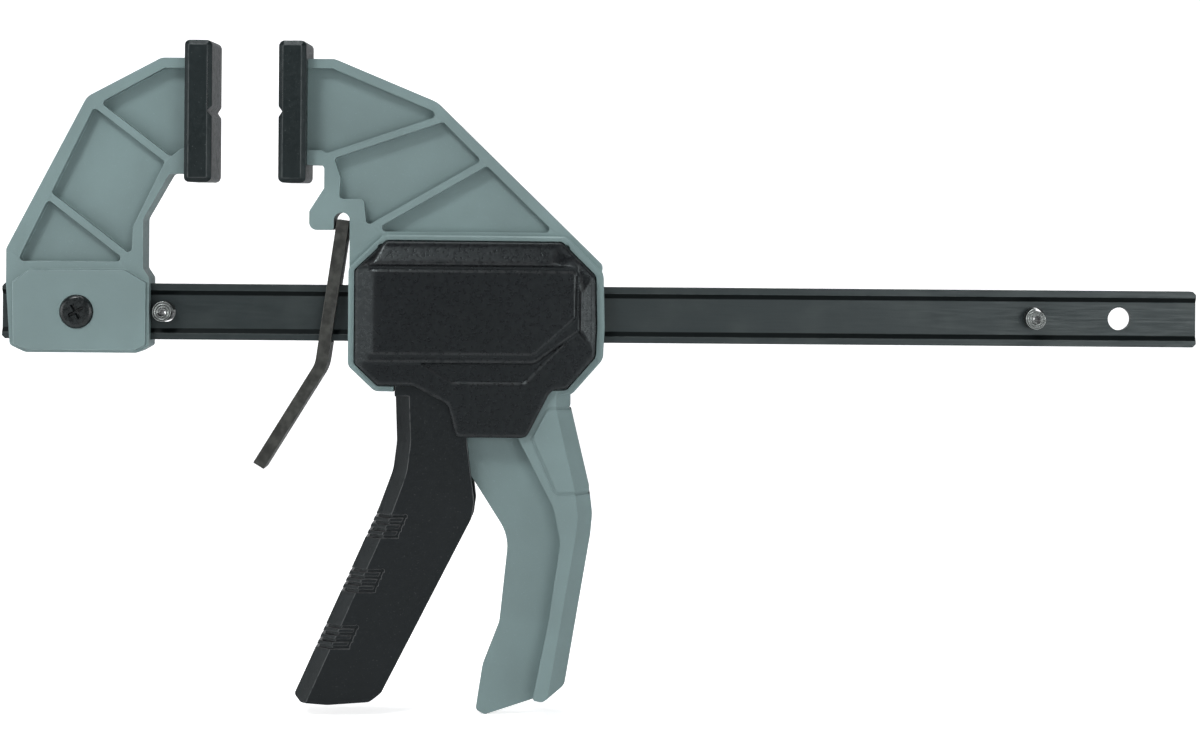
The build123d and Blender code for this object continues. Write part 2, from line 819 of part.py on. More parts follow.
        # shaped left end: one broad slope from the seam up to the panel
        with BuildSketch(Plane.XY.offset(below(20))):
            outline(
                [
                    (housing_left - 1, -side * (cover_low - 1.3), 0),
                    (housing_left + 6.3, -side * cover_panel, 0),
                    (housing_left + 12.0, -side * (cover_panel + 1.9), 0),
                    (housing_left - 1, -side * (cover_panel + 1.9), 0),
                ]
            )
        extrude(amount=bar_height + 40, mode=Mode.SUBTRACT)
        for x, z in cover_screws_at:
            with BuildSketch(level(cover_seat - 1)):
                with Locations((x, z)):
                    Circle(cover_screw_radius if side > 0 else cover_screw_radius + fit)
            extrude(amount=side * (4.0 if side > 0 else 20), mode=Mode.SUBTRACT)
            if side < 0:
                with BuildSketch(level(tongue_inner - 0.1)):
                    with Locations((x, z)):
                        Circle(cover_screw_head_radius + fit)
                extrude(amount=side * 20, mode=Mode.SUBTRACT)
    return shell


front_cover = cover(1)
save(front_cover, "front_cover")
rear_cover = cover(-1)
save(rear_cover, "rear_cover")

# ---------------------------------------------------------------- screws of the covers
screw_seat = tongue_inner - 0.1
with BuildPart() as cover_screws:
    for x, z in cover_screws_at:
        with BuildSketch(Plane.XZ.offset(-screw_seat)):
            with Locations((x, z)):
                Circle(cover_screw_head_radius)
        extrude(amount=-cover_screw_head_height)
        with BuildSketch(Plane.XZ.offset(-screw_seat - cover_screw_head_height)):
            with Locations((x, z)):
                with Locations(Rotation(0, 0, recess_turn)):
                    Rectangle(*cover_screw_recess)
                    Rectangle(*reversed(cover_screw_recess))
        extrude(amount=1.2, mode=Mode.SUBTRACT)
        with BuildSketch(Plane.XZ.offset(-screw_seat)):
            with Locations((x, z)):
                Circle(cover_screw_radius)
        extrude(amount=screw_seat + tongue_inner - 0.2)
save(cover_screws, "cover_screws")

# ---------------------------------------------------------------- trigger
nose_x = plate_x - contact + nose_radius * (hypot(nose_back, nose_half) / nose_half - 1)
trigger_side = [
    (pivot_x - hub_radius, pivot_z + hub_radius, hub_radius - 0.1),
    (pivot_x + hub_radius, pivot_z + hub_radius, hub_radius - 0.1),
    (nose_x - nose_back, nose_half, 2),
    (nose_x, 0, nose_radius),
    (nose_x - nose_back, -nose_half, 2),
    (mx(49.6), plate_low - 2.5, 1.2),
    (mx(56.0), plate_low - 7.0, 3),
    (mx(59.2), -26.0, 6),
    (mx(59.2), -38.9, 12),
    (mx(61.6), -58.3, 4),
    (mx(60.9), -63.5, 4),
    (mx(33.2), -118.1, 3),
    (mx(29.5), -121.0, 3),
    (mx(16.4), -122.0, 8),
    (mx(7.9), -121.4, 1.2),
    (mx(5.6), -119.3, 1.2),
    (mx(31.8), -60.5, 25),
    (mx(36.1), -48.7, 14),
    (mx(37.2), -39.8, 14),
    (mx(36.6), -23.6, 12),
    (mx(38.5), -14.0, 10),
    (pivot_x - hub_radius, 10.0, 6),
]


def trigger_bevels(size):
    """Wedges that bevel the finger face from its foot up to just below the housing."""
    return bevel_wedges(
        [
            (mx(3.2), -124.6),
            (mx(31.8), -60.5),
            (mx(36.1), -48.7),
            (mx(37.2), -39.8),
            (mx(36.65), -25.6),
        ],
        [25, 14, 14],
        trigger_half,
        size,
    )


with BuildPart() as grip_core:
    with BuildSketch(Plane.XZ):
        outline(trigger_side)
        offset(amount=-grip_depth)
    extrude(amount=trigger_half - 0.8, both=True)
    add(trigger_bevels(trigger_bevel + 1.4 * grip_depth).part, mode=Mode.SUBTRACT)

with BuildPart() as grip_slots:
    for end, top in grip_groups:
        for slot in range(4):
            drop = slot * grip_pitch
            with Locations((end - drop * tan(radians(grip_lean)), 0, top - drop)):
                Box(60, 40, grip_slot, align=(Align.MAX, Align.CENTER, Align.MAX))
        # line down the ends of the slots
        with Locations((end, 0, top)):
            Box(
                0.8,
                40,
                (3 * grip_pitch + grip_slot) / cos(radians(grip_lean)),
                rotation=(0, grip_lean, 0),
                align=(Align.MAX, Align.CENTER, Align.MAX),
            )
    add(grip_core.part, mode=Mode.SUBTRACT)

with BuildPart() as trigger:
    with BuildSketch(Plane.XZ):
        outline(trigger_side)
    extrude(amount=trigger_half, both=True)
    add(trigger_bevels(trigger_bevel).part, mode=Mode.SUBTRACT)
    add(grip_slots.part, mode=Mode.SUBTRACT)
    # hollow, open towards the handle, that the bar and the handle's web run in
    wall = trigger_front_wall
    with BuildSketch(Plane.XZ):
        outline(
            [
                (mx(30.0), 12.0, 0),
                (mx(75.0), 12.0, 0),
                (mx(75.0), -130.0, 0),
                (mx(26.5), -130.0, 0),
                (mx(26.5), -118.2, 1),
                (mx(6.8) + wall, -118.2, 1),
                (mx(31.8) + wall, -60.5, 20),
                (mx(36.1) + wall, -48.7, 10),
                (mx(37.2) + wall, -39.8, 10),
                (mx(36.6) + wall, -23.6, 10),
                (mx(38.0) + wall, -11.5, 0),
                (mx(30.0), -11.5, 0),
            ]
        )
    extrude(amount=trigger_half - trigger_wall, both=True, mode=Mode.SUBTRACT)
    cross_hole(pivot_x, pivot_z, trigger_pin_radius + pivot_play)
save(trigger, "trigger")

with BuildPart() as trigger_pin:
    with BuildSketch(Plane.XZ):
        with Locations((pivot_x, pivot_z)):
            Circle(trigger_pin_radius)
    extrude(amount=trigger_half + 1.7, both=True)
save(trigger_pin, "trigger_pin")


# ---------------------------------------------------------------- drive
def drive_plate(x):
    """Hardened plate that bites the bar, with its front face at x."""
    with BuildPart() as plate:
        with BuildSketch(Plane.YZ.offset(x)):
            RectangleRounded(2 * (tongue_inner - plate_gap), -2 * plate_low, 2.0)
            Rectangle(bar_thickness + 2 * slide, bar_height + 2 * slide, mode=Mode.SUBTRACT)
        extrude(amount=drive_plate_thickness)
    return plate


drive_plate_1 = drive_plate(plate_x)
save(drive_plate_1, "drive_plate_1")
drive_plate_2 = drive_plate(plate_x + drive_plate_thickness)
save(drive_plate_2, "drive_plate_2")


def coil_spring(x_from, x_to, z, radius, wire, turns):
    """Compression spring along X between two planes, with the given coil centre radius."""
    travel = x_to - x_from - wire
    with BuildPart() as spring:
        with BuildLine() as path:
            Helix(
                pitch=travel / turns,
                height=travel,
                radius=radius,
                center=(x_from + wire / 2, 0, z),
                direction=(1, 0, 0),
            )
        # six flats stand for the round wire, so that the long sweep stays light
        with BuildSketch(Plane(path.line @ 0, z_dir=path.line % 0)) as section:
            RegularPolygon(wire / 2, 6)
        sweep(section.sketch, path=path.line, is_frenet=True)
    return spring


drive_spring = coil_spring(
    spring_x, cavity_right - contact, 0.0, drive_radius, drive_wire, drive_turns
)
save(drive_spring, "drive_spring")

# ---------------------------------------------------------------- release lever and brake spring
tilt = radians(lever_tilt)
bend = radians(lever_bend)
lever_top = (lever_pivot_x + 2.4 * tan(tilt), lever_pivot_z + 2.4)
elbow = (lever_pivot_x - (lever_pivot_z - lever_elbow_z) * tan(tilt), lever_elbow_z)
finger_end = (elbow[0] - lever_tail * sin(bend), elbow[1] - lever_tail * cos(bend))

with BuildPart() as release_lever:
    with BuildSketch(Plane.XZ):
        with BuildLine() as middle:
            FilletPolyline([lever_top, elbow, finger_end], radius=10.0)
        trace(middle.line, lever_thickness)
    extrude(amount=lever_width / 2, both=True)
    window_centre = Plane(
        origin=(lever_pivot_x - lever_pivot_z * tan(tilt), 0, 0),
        x_dir=(0, 1, 0),
        z_dir=(cos(tilt), 0, -sin(tilt)),
    )
    window_height = (bar_height + fit + lever_thickness * sin(tilt)) / cos(tilt)
    with BuildSketch(window_centre):
        Rectangle(bar_thickness + 4 * fit, window_height)
    extrude(amount=lever_thickness, both=True, mode=Mode.SUBTRACT)
save(release_lever, "release_lever")

brake_spring = coil_spring(
    brake_spring_x,
    cavity_left - 1.4 - contact,
    above(brake_spring_height),
    brake_spring_radius - fit - brake_wire / 2,
    brake_wire,
    3,
)
save(brake_spring, "brake_spring")
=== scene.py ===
"""Looks of a quick release bar clamp, laid out as a Blender add-on and run as a script.

Every piece is in metres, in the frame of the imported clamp: +X along the bar, +Z towards the pads.
The rigid pieces keep the shapes they were built with and get softened edges and a finish. The side
covers and the springs are modelled here, in the boxes of the built ones.
"""

import json
from math import cos, pi, radians, sin, tan

import bmesh
import bpy
from bpy.props import FloatProperty, FloatVectorProperty, PointerProperty
from bpy.types import Operator, Panel, PropertyGroup
from mathutils import Euler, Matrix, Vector

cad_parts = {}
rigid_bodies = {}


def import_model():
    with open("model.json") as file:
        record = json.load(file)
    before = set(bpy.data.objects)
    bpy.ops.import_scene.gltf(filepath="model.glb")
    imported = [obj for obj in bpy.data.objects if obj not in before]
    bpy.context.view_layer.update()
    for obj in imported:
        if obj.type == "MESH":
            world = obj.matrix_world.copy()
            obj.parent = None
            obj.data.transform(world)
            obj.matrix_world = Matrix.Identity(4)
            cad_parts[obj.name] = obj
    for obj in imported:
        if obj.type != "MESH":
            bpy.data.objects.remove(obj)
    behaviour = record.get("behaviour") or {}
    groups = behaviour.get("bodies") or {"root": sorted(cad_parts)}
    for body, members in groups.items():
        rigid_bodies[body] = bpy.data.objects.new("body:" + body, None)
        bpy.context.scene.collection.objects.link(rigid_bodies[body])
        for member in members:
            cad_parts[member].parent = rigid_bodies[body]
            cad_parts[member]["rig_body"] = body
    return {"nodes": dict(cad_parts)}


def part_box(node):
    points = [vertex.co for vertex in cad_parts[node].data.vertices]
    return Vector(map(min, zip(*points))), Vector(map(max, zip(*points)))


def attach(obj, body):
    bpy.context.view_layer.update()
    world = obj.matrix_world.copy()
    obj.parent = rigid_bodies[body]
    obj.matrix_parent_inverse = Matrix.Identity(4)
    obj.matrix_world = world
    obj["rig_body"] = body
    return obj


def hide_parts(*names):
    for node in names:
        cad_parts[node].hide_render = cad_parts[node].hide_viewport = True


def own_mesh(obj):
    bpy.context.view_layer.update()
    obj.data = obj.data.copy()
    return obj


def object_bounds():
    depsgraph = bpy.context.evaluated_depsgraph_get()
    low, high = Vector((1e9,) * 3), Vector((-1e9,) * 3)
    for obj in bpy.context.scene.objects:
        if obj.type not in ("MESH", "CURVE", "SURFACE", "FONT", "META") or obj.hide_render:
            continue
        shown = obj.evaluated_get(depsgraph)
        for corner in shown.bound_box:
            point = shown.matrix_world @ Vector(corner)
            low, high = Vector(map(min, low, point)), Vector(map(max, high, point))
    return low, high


bl_info = {
    "name": "Bar Clamp Looks",
    "version": (1, 0, 0),
    "blender": (4, 5, 0),
    "location": "3D View > Sidebar > Clamp",
    "description": "Finishes and stage for a quick release bar clamp",
    "category": "Object",
}

MM = 0.001
WELD = 0.02 * MM  # points of a built piece that lie closer than this are one
FLAT = radians(0.6)  # facets that meet at less than this are joined
SHARP = radians(26)  # edges sharper than this are rounded
CREASE = radians(38)  # edges sharper than this stay creased in the shading
COVER_CREASE = radians(55)  # the same on the moulded covers
DRIVE_COIL = (9.9 * MM, 1.3 * MM, 5)  # radius, wire and working turns of the drive spring
BRAKE_COIL = (4.15 * MM, 1.1 * MM, 2)  # the same of the brake spring
SPRING_GAP = 0.05 * MM  # from the end of a spring to what it pushes on
GROOVE_SHADE_DEPTHS = (3.7 * MM, 1.95 * MM)  # painted shade in the root of the bar's groove, from the edges of the bar
SCREW_WELL = 3.3 * MM  # radius of the wells that the rear cover's screws stand in
STEP_SLOPE = 1.6  # rise over run of the steps on the covers
RIDGE_BLEND = 0.22 * MM  # rounding where two faces of a cover meet at a ridge
ROOT_BLEND = 0.3 * MM  # rounding where they meet in a hollow
FULL_HIGHLIGHT_BEND = 0.12 * MM  # how far a cover's edge stands out where its painted highlight is full
SHELL = 1.3 * MM  # wall of the covers
SKIRT = 1.2 * MM  # width of the rim of a cover that stands on the housing
SKIRT_GAP = 0.05 * MM  # from that rim to the housing
GUSSET_INNER = 5.2 * MM  # inner face of the corner gussets, from the middle plane
GUSSET_GAP = 0.05 * MM  # how far their outer face stays below the covers' seat
FLOOR_GAP = 0.2 * MM  # from the clamp's lowest point to the floor
AMBIENT = 0.16  # strength of the light from all round
LAMPS = {  # place, target, width and power
    "key": ((-0.4, -0.9, 0.95), (0.12, 0, 0), 0.32, 9.5),
    "strip": ((-0.75, -0.95, 0.1), (0.08, 0, 0), 0.4, 2.0),
    "fill": ((0.62, -1.05, 0.0), (0.13, 0, -0.05), 0.5, 5.0),
    "left": ((-0.95, -0.3, 0.1), (0.1, 0, -0.05), 0.5, 3.0),
    "right": ((1.1, -0.45, -0.1), (0.15, 0, -0.08), 0.5, 4.0),
    "top": ((0.1, 0.0, 1.2), (0.12, 0, 0), 0.5, 6.0),
}
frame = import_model()
cad_box = [list(corner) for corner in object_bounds()]


# ---------------------------------------------------------------- sizes and colours
def size(name, description, default):
    """Length in metres that a user can change."""
    return FloatProperty(
        name=name, description=description, default=default, min=0.0, unit="LENGTH", precision=5
    )


def colour(name, description, rgb):
    """Colour property from red, green and blue as they show on a screen, 0 to 255."""
    linear = [(c / 255 / 12.92) if c < 11 else ((c / 255 + 0.055) / 1.055) ** 2.4 for c in rgb]
    return FloatVectorProperty(
        name=name, description=description, default=linear, subtype="COLOR", min=0.0, max=1.0
    )


def toned(rgb, factor, lift=0.0):
    """A paler or darker tone of a colour."""
    return [min(1.0, c * factor + lift) for c in rgb]


class ClampSizes(PropertyGroup):
    """Sizes of the finishes."""

    moulding_edge: size("Moulding edge", "Radius along the edges of the grey mouldings", 0.35 * MM)
    cover_pitch: size("Cover pitch", "Spacing of the points on the black covers", 0.4 * MM)
    grip_edge: size("Grip edge", "Radius along the edges of the trigger", 0.3 * MM)
    pad_edge: size("Pad edge", "Radius along the edges of the pads", 0.4 * MM)
    steel_edge: size("Steel edge", "Radius along the edges of the steel pieces", 0.15 * MM)
    camera_distance: size("Camera distance", "From the middle of the clamp to the camera", 840 * MM)
    view_width: size("View width", "Width of the view at the middle of the clamp", 378 * MM)


class ClampColours(PropertyGroup):
    """Colours of the finishes."""

    moulding: colour("Moulding", "Grey nylon of the jaws and the handle", (110, 129, 129))
    moulding_dark: colour("Moulding shade", "Darker tone of the same nylon", (102, 119, 119))
    cover: colour("Cover", "Black textured plastic", (15, 16, 18))
    pad: colour("Pad", "Black soft plastic of the pads", (18, 25, 26))
    bar: colour("Bar", "Black oxide on the bar", (38, 46, 47))
    # The wear colour is also used for the painted highlight along the bar's edges.
    bar_wear_and_highlight: colour("Bar wear", "Bar where the oxide has rubbed thin", (58, 65, 64))
    lever: colour("Lever", "Browned steel of the release lever", (52, 53, 50))
    bright: colour("Bright steel", "Spring steel of the pins", (84, 87, 86))
    backdrop: colour("Backdrop", "Pale floor and backdrop", (236, 237, 238))


# ---------------------------------------------------------------- shader helpers
class Graph:
    """Short way to add nodes to a tree and link them."""

    def __init__(self, tree):
        self.tree = tree

    def add(self, kind, inputs=None, **settings):
        node = self.tree.nodes.new(kind)
        for name, value in settings.items():
            setattr(node, name, value)
        for name, value in (inputs or {}).items():
            socket = node.inputs[name]
            if isinstance(value, bpy.types.NodeSocket):
                self.tree.links.new(value, socket)
            else:
                socket.default_value = value
        return node

    def place(self):
        """Coordinates of the piece itself."""
        return self.add("ShaderNodeTexCoord").outputs["Object"]

    def math(self, operation, a, b=0.0):
        return self.add("ShaderNodeMath", {0: a, 1: b}, operation=operation).outputs[0]

    def mix(self, factor, a, b):
        node = self.add("ShaderNodeMix", data_type="RGBA", clamp_factor=True)
        for index, value in ((0, factor), (6, a), (7, b)):
            if isinstance(value, bpy.types.NodeSocket):
                self.tree.links.new(value, node.inputs[index])
            elif index == 0:
                node.inputs[index].default_value = value
            else:
                node.inputs[index].default_value = (*value, 1.0)
        return node.outputs[2]

    def band(self, value, low, high, start=0.0, end=1.0):
        """Smooth step of a value from start at low to end at high."""
        return self.add(
            "ShaderNodeMapRange",
            {"Value": value, "From Min": low, "From Max": high, "To Min": start, "To Max": end},
            interpolation_type="SMOOTHSTEP",
        ).outputs[0]


def node_group(name, numbers, outputs):
    """New shader node group with number inputs (name: default) and outputs (name: kind)."""
    group = bpy.data.node_groups.new(name, "ShaderNodeTree")
    for label, default in numbers.items():
        socket = group.interface.new_socket(label, in_out="INPUT", socket_type="NodeSocketFloat")
        socket.default_value = default
    for label, kind in outputs.items():
        group.interface.new_socket(label, in_out="OUTPUT", socket_type=kind)
    graph = Graph(group)
    entry = group.nodes.new("NodeGroupInput")
    leave = group.nodes.new("NodeGroupOutput")
    return group, graph, entry.outputs, leave.inputs


def moulded_grain():
    """Fine spark-eroded grain of a moulding: a height, and a tone that drifts over the piece."""
    name = "moulded_grain"
    if name in bpy.data.node_groups:
        return bpy.data.node_groups[name]
    group, g, given, out = node_group(
        name,
        {"Grain": 2600.0, "Pebble": 1100.0, "Drift": 28.0},
        {"Height": "NodeSocketFloat", "Tone": "NodeSocketFloat", "Speck": "NodeSocketFloat"},
    )
    where = g.place()
    fine = noise(g, where, given["Grain"], 3.0)
    cells = g.add(
        "ShaderNodeTexVoronoi", {"Vector": where, "Scale": given["Pebble"]}, feature="SMOOTH_F1"
    ).outputs["Distance"]
    drift = noise(g, where, given["Drift"], 4.0)
    height = g.math("ADD", g.math("MULTIPLY", fine, 0.6), g.math("MULTIPLY", cells, 0.4))
    g.tree.links.new(height, out["Height"])
    g.tree.links.new(g.band(drift, 0.32, 0.68), out["Tone"])
    g.tree.links.new(g.band(fine, 0.64, 0.74), out["Speck"])
    return group


def rubbed_edge():
    """Mask of the painted highlight along the edges, broken up so that it isn't an even line."""
    name = "rubbed_edge"
    if name in bpy.data.node_groups:
        return bpy.data.node_groups[name]
    group, g, given, out = node_group(
        name, {"Break Up": 350.0, "Amount": 0.5}, {"Mask": "NodeSocketFloat"}
    )
    edge = g.add("ShaderNodeAttribute", attribute_name="edge").outputs["Fac"]
    where = g.place()
    patch = noise(g, where, given["Break Up"], 5.0)
    mask = g.math("MULTIPLY", edge, g.band(patch, 0.28, 0.56))
    g.tree.links.new(g.math("MULTIPLY", mask, given["Amount"]), out["Mask"])
    return group


def use(graph, group, **values):
    """Place a node group in a material with its own values."""
    node = graph.add("ShaderNodeGroup", node_tree=group)
    for name, value in values.items():
        node.inputs[name.replace("_", " ")].default_value = value
    return node.outputs


def noise(graph, where, scale, detail):
    """Noise over the piece, with its scale in cycles per metre."""
    return graph.add(
        "ShaderNodeTexNoise", {"Vector": where, "Scale": scale, "Detail": detail}
    ).outputs[0]


def stretched(graph, where, scale):
    """Coordinates scaled along each axis, which draws a noise out into lines."""
    return graph.add("ShaderNodeMapping", {"Vector": where, "Scale": scale}).outputs[0]


def new_material(name):
    """Empty material with a Principled BSDF wired to its output."""
    material = bpy.data.materials.new(name)
    material.use_nodes = True
    tree = material.node_tree
    tree.nodes.clear()
    graph = Graph(tree)
    shader = graph.add("ShaderNodeBsdfPrincipled")
    graph.add("ShaderNodeOutputMaterial", {"Surface": shader.outputs[0]})
    return material, graph, shader.inputs


def wire(graph, shader, colour, rough, normal):
    """Link the three sockets of a material that change over the surface."""
    for name, socket in (("Base Color", colour), ("Roughness", rough), ("Normal", normal)):
        graph.tree.links.new(socket, shader[name])


def bump(graph, height, distance):
    """Normal from a height, where distance is the relief in metres."""
    return graph.add(
        "ShaderNodeBump", {"Height": height, "Distance": distance, "Strength": 1.0}
    ).outputs[0]


# ---------------------------------------------------------------- finishes
def moulded_plastic(name, light, dark, grain, relief, gloss, edge_light, sheen=0.5, speckle=0.2):
    """Textured moulding: two close tones, a fine grain in bump and gloss, painted highlights on the
    edges.

    grain is in cycles per metre, relief in metres, gloss is the middle roughness, edge_light and
    speckle are the strength of the painted edge highlights and of the pale specks, sheen the
    specular level.
    """
    material, g, shader = new_material(name)
    texture = use(g, moulded_grain(), Grain=grain, Pebble=grain * 0.42)
    # Mask of the painted highlight along the edges.
    highlight_mask = use(g, rubbed_edge(), Amount=edge_light)["Mask"]
    base = g.mix(texture["Tone"], dark, light)
    specks = g.math("MULTIPLY", texture["Speck"], speckle)
    speckled = g.mix(specks, base, toned(light, 1.6, 0.04))
    # Painted highlight: the edges are paler.
    wear_and_highlight = g.mix(highlight_mask, speckled, toned(light, 1.3, 0.08))
    rough = g.band(texture["Height"], 0.3, 0.8, gloss - 0.08, gloss + 0.1)
    wire(g, shader, wear_and_highlight, rough, bump(g, texture["Height"], relief))
    shader["Specular IOR Level"].default_value = sheen
    shader["Specular Tint"].default_value = (0.86, 0.98, 1.0, 1.0)
    return material


def oxide_steel(name, base, wear_and_highlight, streak, half):
    """Blackened steel with drawing lines along the bar, thin spots, painted edge highlights and
    painted shade in the roots of its grooves.

    half is half the bar's height, from which the depths of a groove's root are measured.
    """
    material, g, shader = new_material(name)
    where = g.place()
    lines = noise(g, stretched(g, where, (streak, 1.0, 1.0)), 1800.0, 4.0)
    cloud = noise(g, where, 60.0, 6.0)
    # Painted highlight along the edges, in the wear colour.
    highlight_mask = use(g, rubbed_edge(), Amount=0.8)["Mask"]
    thin = g.math("MULTIPLY", g.band(cloud, 0.45, 0.75), 0.35)
    tone = g.mix(thin, base, wear_and_highlight)
    height = g.math("ABSOLUTE", g.add("ShaderNodeSeparateXYZ", {"Vector": where}).outputs["Z"])
    # Painted shade in the root of each groove: a darker colour and less reflection there.
    deep, shallow = GROOVE_SHADE_DEPTHS
    inner = g.band(height, half - deep, half - deep + 0.3 * MM)
    outer = g.band(height, half - shallow - 0.25 * MM, half - shallow, 1.0, 0.0)
    root = g.math("MULTIPLY", g.math("MULTIPLY", inner, outer), 0.85)
    skin = g.mix(root, g.mix(highlight_mask, tone, wear_and_highlight), toned(base, 0.12))
    wire(g, shader, skin, g.band(lines, 0.3, 0.7, 0.34, 0.52), bump(g, lines, 0.02 * MM))
    g.tree.links.new(g.band(root, 0.0, 0.85, 0.4, 0.06), shader["Specular IOR Level"])
    shader["Metallic"].default_value = 0.35
    return material


def sheared_steel(name, base):
    """Browned strip steel with a mottled, slightly rough skin."""
    material, g, shader = new_material(name)
    where = g.place()
    mottle = noise(g, where, 420.0, 8.0)
    pits = g.add("ShaderNodeTexVoronoi", {"Vector": where, "Scale": 900.0}).outputs["Distance"]
    highlight_mask = use(g, rubbed_edge(), Amount=0.7)["Mask"]
    tone = g.mix(g.band(mottle, 0.35, 0.7), toned(base, 0.6), toned(base, 1.35))
    # Painted highlight: the edges are paler.
    skin = g.mix(highlight_mask, tone, toned(base, 2.6))
    height = g.math("ADD", mottle, g.math("MULTIPLY", pits, 0.5))
    wire(g, shader, skin, g.band(mottle, 0.3, 0.7, 0.42, 0.6), bump(g, height, 0.05 * MM))
    shader["Metallic"].default_value = 0.4
    return material


def bright_steel(name, base, turned):
    """Bare steel with fine scratches, drawn out by the scale turned, and painted highlights on the
    edges.
    """
    material, g, shader = new_material(name)
    where = g.place()
    scratch = noise(g, stretched(g, where, turned), 1500.0, 5.0)
    grime = noise(g, where, 260.0, 6.0)
    highlight_mask = use(g, rubbed_edge(), Break_Up=260.0, Amount=0.9)["Mask"]
    tone = g.mix(g.band(grime, 0.4, 0.7), base, toned(base, 0.45))
    # Painted highlight: the edges are much paler.
    skin = g.mix(highlight_mask, tone, toned(base, 5.5))
    wire(g, shader, skin, g.band(scratch, 0.3, 0.7, 0.25, 0.45), bump(g, scratch, 0.01 * MM))
    shader["Metallic"].default_value = 0.85
    return material


def oiled_steel(name, base):
    """Black phosphated screw steel with a thin film of oil and painted highlights on the edges."""
    material, g, shader = new_material(name)
    where = g.place()
    film = noise(g, where, 700.0, 6.0)
    highlight_mask = use(g, rubbed_edge(), Break_Up=700.0, Amount=0.8)["Mask"]
    tone = g.mix(g.band(film, 0.35, 0.7), toned(base, 0.6), base)
    # Painted highlight: the edges are much paler.
    skin = g.mix(highlight_mask, tone, toned(base, 6.0))
    wire(g, shader, skin, g.band(film, 0.3, 0.7, 0.2, 0.36), bump(g, film, 0.03 * MM))
    shader["Metallic"].default_value = 0.3
    shader["Specular IOR Level"].default_value = 0.6
    return material


# ---------------------------------------------------------------- pieces
def placed(name, data, material):
    """Object of a mesh with one material, in the scene."""
    data.materials.append(material)
    piece = bpy.data.objects.new(name, data)
    bpy.context.scene.collection.objects.link(piece)
    return piece


def softened(node, width, material):
    """Copy of a built piece with its edges rounded by width, which then stands for that piece."""
    source = frame["nodes"][node]
    mesh = bmesh.new()
    mesh.from_mesh(source.data)
    bmesh.ops.remove_doubles(mesh, verts=mesh.verts, dist=WELD)
    bmesh.ops.dissolve_limit(
        mesh, angle_limit=FLAT, verts=mesh.verts, edges=mesh.edges, delimit={"NORMAL"}
    )
    edge_mark = mesh.faces.layers.float.new("edge")
    sharp = [e for e in mesh.edges if e.is_manifold and e.calc_face_angle(0.0) > SHARP]
    if width > 0 and sharp:
        made = bmesh.ops.bevel(
            mesh,
            geom=sharp,
            offset=width,
            offset_type="OFFSET",
            affect="EDGES",
            segments=2,
            profile=0.5,
            material=-1,
            clamp_overlap=True,
            miter_outer="ARC",
        )
        # The rounded faces are marked for the painted edge highlight.
        for face in made["faces"]:
            face[edge_mark] = 1.0
    bmesh.ops.triangulate(mesh, faces=[f for f in mesh.faces if len(f.verts) > 4])
    data = bpy.data.meshes.new(f"{node}_finished")
    mesh.to_mesh(data)
    mesh.free()
    data.shade_smooth()
    data.set_sharp_from_angle(angle=CREASE)
    piece = placed(f"{node}_finished", data, material)
    normals = piece.modifiers.new("weighted_normals", "WEIGHTED_NORMAL")
    normals.keep_sharp = True
    normals.weight = 60
    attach(piece, source["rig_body"])
    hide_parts(node)


def wire_spring(name, node, coil, material):
    """Round-wire compression spring with closed ends, in the space of its built node.

    coil is its radius, wire and working turns.
    """
    radius, wire, turns = coil
    low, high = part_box(node)
    middle = (low + high) / 2
    curve = bpy.data.curves.new(name, "CURVE")
    curve.dimensions = "3D"
    curve.bevel_depth = wire / 2
    curve.bevel_resolution = 3
    curve.use_fill_caps = True
    line = curve.splines.new("POLY")
    steps_per_turn = 32
    dead = 0.9  # turns that lie flat at each end
    rise = 0.03  # share of the length that each of them climbs
    total = turns + 2 * dead
    count = int(total * steps_per_turn)
    first = low.x + wire / 2 + SPRING_GAP
    last = high.x - wire / 2 - SPRING_GAP
    line.points.add(count)
    for i in range(count + 1):
        turn = total * i / count
        share = (1 - 2 * rise) * min(max((turn - dead) / turns, 0.0), 1.0)
        share += rise * min(turn / dead, 1.0)
        share += rise * min(max((turn - dead - turns) / dead, 0.0), 1.0)
        angle = 2 * pi * turn
        line.points[i].co = (
            first + (last - first) * share,
            radius * cos(angle),
            middle.z + radius * sin(angle),
            1.0,
        )
    shape = bpy.data.objects.new(name, curve)
    bpy.context.scene.collection.objects.link(shape)
    bpy.context.view_layer.update()
    data = bpy.data.meshes.new_from_object(shape)
    bpy.data.objects.remove(shape)
    data.shade_smooth()
    piece = placed(name, data, material)
    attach(piece, frame["nodes"][node]["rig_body"])
    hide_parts(node)
    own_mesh(piece)


# ---------------------------------------------------------------- moulded covers
def rounded(corners):
    """Closed outline through (x, z, corner radius), with an arc at each corner."""
    steps, fullness = 6, 0.9
    line = []
    for i, (x, z, radius) in enumerate(corners):
        here = Vector((x, z))
        back = (Vector(corners[i - 1][:2]) - here).normalized()
        ahead = (Vector(corners[(i + 1) % len(corners)][:2]) - here).normalized()
        if radius == 0:
            line.append(here)
            continue
        half = back.angle(ahead) / 2
        reach = radius / tan(half)
        start, end = here + back * reach, here + ahead * reach
        for step in range(steps + 1):
            share = step / steps
            chord = start.lerp(end, share)
            line.append(chord.lerp(here, 2 * share * (1 - share) * fullness))
    return line


def nearest(point, outline):
    """Distance in from a closed outline (negative outside) and the nearest place on it."""
    best, place, inside = 1.0e9, point, False
    a = outline[-1]
    for b in outline:
        along = b - a
        share = min(max((point - a).dot(along) / max(along.length_squared, 1e-18), 0.0), 1.0)
        foot = a + along * share
        gap = (point - foot).length_squared
        if gap < best:
            best, place = gap, foot
        if (a.y > point.y) != (b.y > point.y):
            if point.x < a.x + (point.y - a.y) * along.x / along.y:
                inside = not inside
        a = b
    return (best**0.5 if inside else -(best**0.5)), place


def soft_min(a, b):
    """Lower of two heights, blended where they meet."""
    return (a + b - ((a - b) ** 2 + RIDGE_BLEND**2) ** 0.5) / 2


